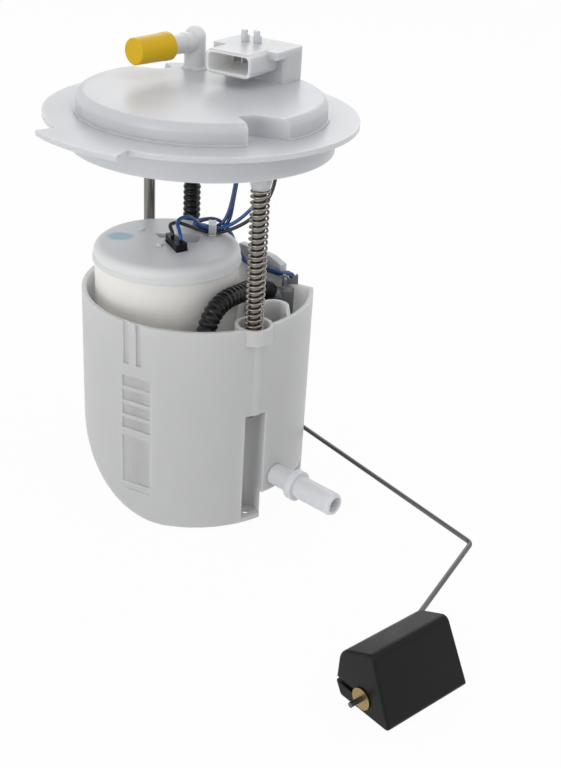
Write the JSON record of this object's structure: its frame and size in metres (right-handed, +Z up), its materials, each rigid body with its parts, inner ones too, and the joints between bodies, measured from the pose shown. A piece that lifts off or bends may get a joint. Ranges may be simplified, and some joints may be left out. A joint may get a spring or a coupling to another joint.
{
  "type": "fuel pump module",
  "caption": "In-tank fuel pump module: round cover with connector and outlet elbow, two guide rods and spring, sliding bucket with filter canister, and a float arm.",
  "frame": {"origin": "centre of the tank cover's seat, on the underside of its rim", "axes": "+Z up along the cover's axis, -Y towards the viewer of the picture, +X to the right"},
  "size_m": [0.2095, 0.2759, 0.2323],
  "materials": {
    "white_plastic": "satin moulded acetal",
    "blade_metal": "dull tin plate",
    "rod_steel": "ground bright steel",
    "spring_steel": "bright spring wire",
    "black_hose": "corrugated nylon",
    "yellow_plastic": "glossy moulded cap",
    "light_blue_wire": "smooth insulation",
    "black_wire": "smooth insulation",
    "dark_blue_wire": "smooth insulation",
    "black_plastic": "satin moulded plug",
    "grey_plastic": "satin moulded fitting",
    "filter_paper": "pleated paper",
    "mesh": "fine woven mesh",
    "zinc_steel": "zinc plated steel",
    "copper_steel": "wound laminations",
    "magnet": "sintered ferrite",
    "carbon": "pressed carbon",
    "brass": "stamped brass",
    "rubber": "soft rubber",
    "card": "ceramic card",
    "float_foam": "dense nitrile foam"
  },
  "bodies": {
    "cover": {"flange_cover": "white_plastic", "connector_terminals": "blade_metal", "guide_rod_front": "rod_steel", "guide_rod_rear": "rod_steel", "rod_retaining_rings": "spring_steel", "lift_spring": "spring_steel", "outlet_hose": "black_hose", "pump_lead_positive": "light_blue_wire", "pump_lead_negative": "black_wire", "sender_lead_a": "dark_blue_wire", "sender_lead_b": "dark_blue_wire"},
    "dust_cap": {"outlet_dust_cap": "yellow_plastic"},
    "reservoir": {"reservoir_bucket": "white_plastic", "transfer_spigot": "white_plastic", "inlet_valve": "rubber", "filter_case": "white_plastic", "filter_cap": "white_plastic", "filter_element": "filter_paper", "pump_plug": "black_plastic", "pump_terminals": "blade_metal", "pump_casing": "zinc_steel", "pump_inlet_cover": "zinc_steel", "pump_chamber_plate": "zinc_steel", "pump_magnets": "magnet", "pump_end_cap": "black_plastic", "pump_brushes": "carbon", "pump_check_valve": "rubber", "inlet_strainer": "mesh", "pressure_regulator": "zinc_steel", "return_hose": "black_hose", "hose_end": "black_plastic", "jet_fitting": "grey_plastic", "jet_nozzle": "grey_plastic", "cable_clip": "white_plastic", "sender_bracket": "white_plastic", "sender_card": "card"},
    "rotor": {"pump_armature": "copper_steel", "pump_impeller": "black_plastic"},
    "arm": {"arm_hub": "white_plastic", "float_wire": "rod_steel", "wiper_contacts": "brass", "push_washer": "brass"},
    "float": {"float_block": "float_foam"}
  },
  "joints": [
    {"name": "reservoir_lift", "type": "slide", "parent": "cover", "child": "reservoir", "axis": [0, 0, 1], "range_m": [0, 0.035], "stiffness_N_per_m": 200, "springref_m": -0.02, "deforming": ["lift_spring", "outlet_hose", "pump_lead_positive", "pump_lead_negative", "sender_lead_a", "sender_lead_b"]},
    {"name": "cap_pull", "type": "slide", "parent": "cover", "child": "dust_cap", "axis": [-0.6947, -0.7193, 0], "range_m": [0, 0.028]},
    {"name": "pump_spin", "type": "hinge", "parent": "reservoir", "child": "rotor", "pos_m": [-0.016, 0.0035, -0.12], "axis": [0, 0, 1], "continuous": true},
    {"name": "float_swing", "type": "hinge", "parent": "reservoir", "child": "arm", "pos_m": [0.03975, 0.02369, -0.1705], "axis": [-0.7986, -0.6018, 0], "range_deg": [0, 50]},
    {"name": "float_pivot", "type": "hinge", "parent": "arm", "child": "float", "pos_m": [0.08906, -0.17518, -0.19], "axis": [-0.7986, -0.6018, 0], "range_deg": [-40, 40]}
  ]
}
